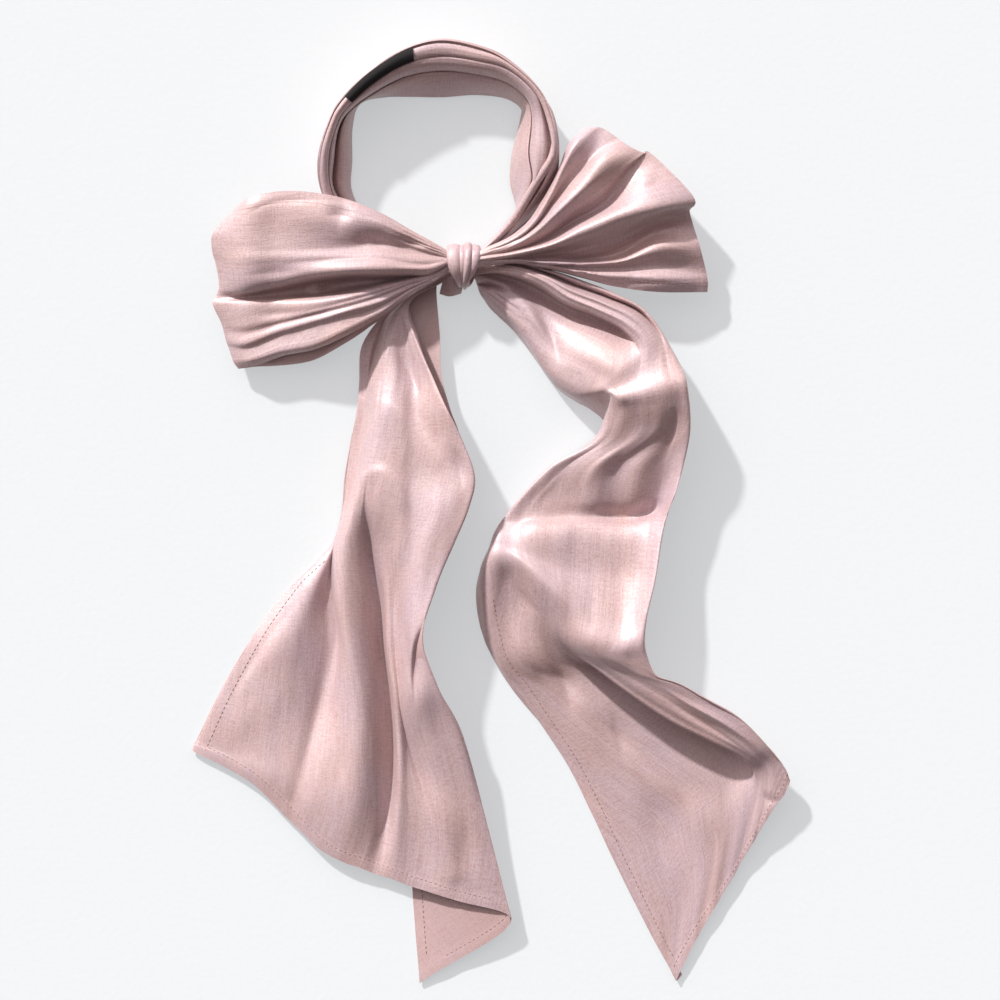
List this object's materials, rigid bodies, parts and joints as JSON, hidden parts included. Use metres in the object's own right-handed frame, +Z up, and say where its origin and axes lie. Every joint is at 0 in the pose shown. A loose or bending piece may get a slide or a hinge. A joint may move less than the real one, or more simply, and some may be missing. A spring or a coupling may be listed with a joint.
{
  "type": "satin neck scarf tied in a bow",
  "caption": "Satin neck scarf lying flat, tied as a pleated neck ring with a side knot, a two-loop bow and two long folded tails.",
  "frame": {"origin": "on the surface that the scarf lies on, under the middle of its box", "axes": "+Z up from the surface, +Y from the hems of the tails to the neck ring, +X to the right-hand tail"},
  "size_m": [0.3583, 0.561, 0.0393],
  "materials": {
    "satin": "soft satin with a silky sheen",
    "woven_label": "matte woven",
    "thread": "matte sewing thread"
  },
  "bodies": {
    "root": {"neck_band": "satin", "neck_label": "woven_label", "knot": "satin", "knot_under_fold": "satin", "bow_loop_left": "satin", "bow_loop_right": "satin", "tail_left": "satin", "tail_right": "satin"}
  },
  "joints": []
}
